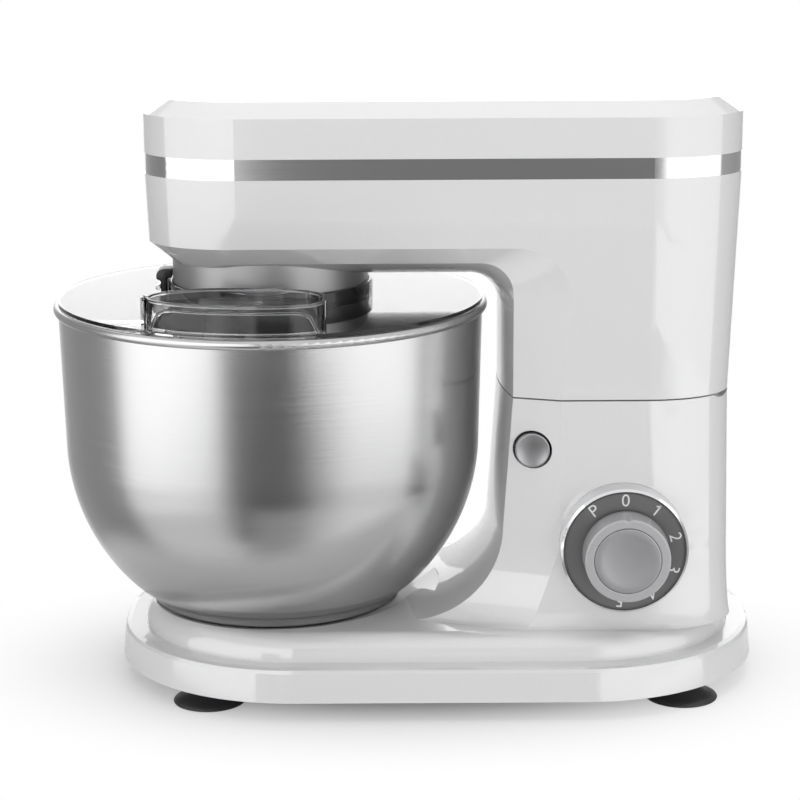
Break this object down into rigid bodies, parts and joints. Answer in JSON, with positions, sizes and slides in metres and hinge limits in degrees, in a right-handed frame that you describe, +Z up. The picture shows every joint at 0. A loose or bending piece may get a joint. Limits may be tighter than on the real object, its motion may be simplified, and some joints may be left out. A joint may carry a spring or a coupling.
{
  "type": "tilt-head stand mixer",
  "caption": "Tilt-head stand mixer: white housing with a bright trim band, steel bowl with splash guard and chute, speed dial, release button and planetary flat beater.",
  "frame": {"origin": "on the table plane under the middle of the overall box", "axes": "+X from the nose to the hinge end, +Y away from the control side, +Z up"},
  "size_m": [0.383, 0.236, 0.3185],
  "materials": {
    "white_body": "gloss moulded white",
    "brushed_trim": "brushed bright metal",
    "steel_bowl": "satin stainless steel",
    "knob_metal": "satin metallic",
    "dial_grey": "dark satin",
    "clear_guard": "clear moulded plastic",
    "black_rubber": "matte black",
    "black_plastic": "matte black",
    "pale_plastic": "matte off-white",
    "shaft_steel": "ground steel",
    "cast_alloy": "cast alloy",
    "belt_rubber": "matte black",
    "copper": "copper segments",
    "board_green": "circuit board"
  },
  "bodies": {
    "base": {"base_housing": "white_body", "bottom_cover": "pale_plastic", "cord_gland": "black_rubber", "suction_feet": "black_rubber", "cover_screws": "shaft_steel", "bowl_seat": "black_plastic", "knob_bezel": "brushed_trim", "dial_plate": "dial_grey", "rotary_switch": "black_plastic", "control_board": "board_green", "latch_guide": "black_plastic", "hinge_pin": "shaft_steel", "button_spring": "shaft_steel"},
    "bowl_body": {"bowl": "steel_bowl", "bowl_foot_ring": "steel_bowl"},
    "knob_body": {"speed_knob": "knob_metal", "knob_cap": "knob_metal", "switch_spindle": "shaft_steel"},
    "button_body": {"release_button": "brushed_trim", "latch_bar": "black_plastic"},
    "head": {"head_lower_housing": "white_body", "trim_band": "brushed_trim", "head_top_cover": "white_body", "neck_ring": "brushed_trim", "splash_guard": "clear_guard", "guard_clip": "black_plastic", "ring_gear": "shaft_steel", "main_bearings": "shaft_steel", "jackshaft_bearings": "shaft_steel", "motor_bearings": "shaft_steel", "gearbox_housing": "cast_alloy", "gearbox_cover": "cast_alloy", "motor_stator": "shaft_steel", "motor_frame": "black_plastic", "motor_brushes": "black_plastic", "head_catch": "black_plastic", "drive_belt": "belt_rubber"},
    "carrier": {"main_gear": "pale_plastic", "main_shaft": "shaft_steel", "planet_carrier": "cast_alloy"},
    "tool": {"planet_gear": "shaft_steel", "planet_shaft": "shaft_steel", "beater": "cast_alloy"},
    "jackshaft_body": {"pinion": "pale_plastic", "jackshaft": "shaft_steel", "driven_pulley": "cast_alloy"},
    "rotor": {"motor_pulley": "cast_alloy", "motor_shaft": "shaft_steel", "armature_core": "shaft_steel", "commutator": "copper", "cooling_fan": "black_plastic"}
  },
  "joints": [
    {"name": "head_tilt", "type": "hinge", "parent": "base", "child": "head", "pos_m": [0.1681, 0, 0.1664], "axis": [0, 1, 0], "range_deg": [0, 40]},
    {"name": "carrier_spin", "type": "hinge", "parent": "head", "child": "carrier", "pos_m": [-0.0735, 0, 0.23], "axis": [0, 0, 1], "continuous": true},
    {"name": "tool_spin", "type": "hinge", "parent": "carrier", "child": "tool", "pos_m": [-0.1015, 0, 0.2], "axis": [0, 0, 1], "continuous": true},
    {"name": "jackshaft_spin", "type": "hinge", "parent": "head", "child": "jackshaft_body", "pos_m": [-0.0303, 0, 0.255], "axis": [0, 0, 1], "continuous": true},
    {"name": "motor_spin", "type": "hinge", "parent": "head", "child": "rotor", "pos_m": [0.10895, 0, 0.23], "axis": [0, 0, 1], "continuous": true},
    {"name": "speed_knob_turn", "type": "hinge", "parent": "base", "child": "knob_body", "pos_m": [0.1147, -0.085, 0.084], "axis": [0, 1, 0], "range_deg": [-37, 222]},
    {"name": "release_press", "type": "slide", "parent": "base", "child": "button_body", "axis": [0, 1, 0], "range_m": [0, 0.004], "stiffness_N_per_m": 400, "deforming": ["button_spring"]},
    {"name": "bowl_twist", "type": "hinge", "parent": "base", "child": "bowl_body", "pos_m": [-0.0735, 0, 0.038], "axis": [0, 0, 1], "range_deg": [0, 25]}
  ],
  "couplings": [
    {"joint": "tool_spin", "follows": "carrier_spin", "ratio": -3.3333},
    {"joint": "jackshaft_spin", "follows": "carrier_spin", "ratio": -5},
    {"joint": "motor_spin", "follows": "carrier_spin", "ratio": -25}
  ]
}
